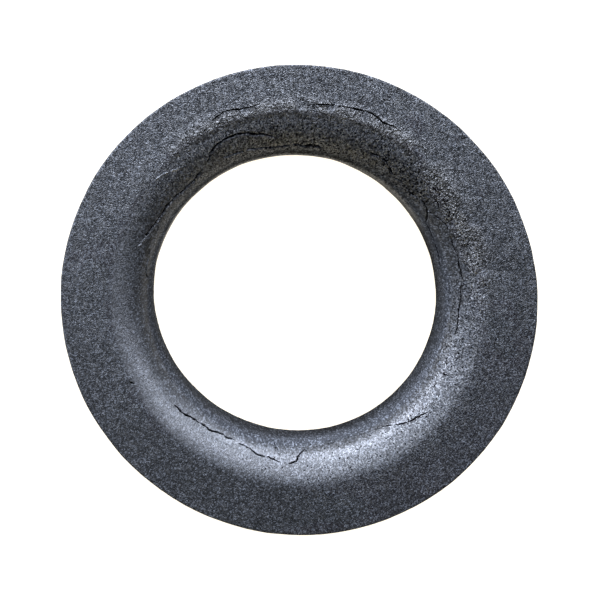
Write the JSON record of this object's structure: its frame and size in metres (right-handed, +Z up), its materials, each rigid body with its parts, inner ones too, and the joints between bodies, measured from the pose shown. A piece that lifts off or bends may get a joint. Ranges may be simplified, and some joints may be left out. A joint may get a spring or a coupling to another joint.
{
  "type": "toilet flange gasket",
  "caption": "Thick sponge-rubber ring with a flat land and a rounded mouth running into a straight bore; it seals a toilet bowl's outlet to its flange.",
  "frame": {"origin": "middle of the flat underside, on the bore's axis", "axes": "+Z up along the bore's axis, out of the rounded mouth"},
  "size_m": [0.13, 0.13, 0.025],
  "materials": {
    "sponge_rubber": "dark blue-grey closed-cell sponge, granular on the land, smooth moulded skin with fine splits in the mouth"
  },
  "bodies": {
    "root": {"gasket": "sponge_rubber"}
  },
  "joints": []
}
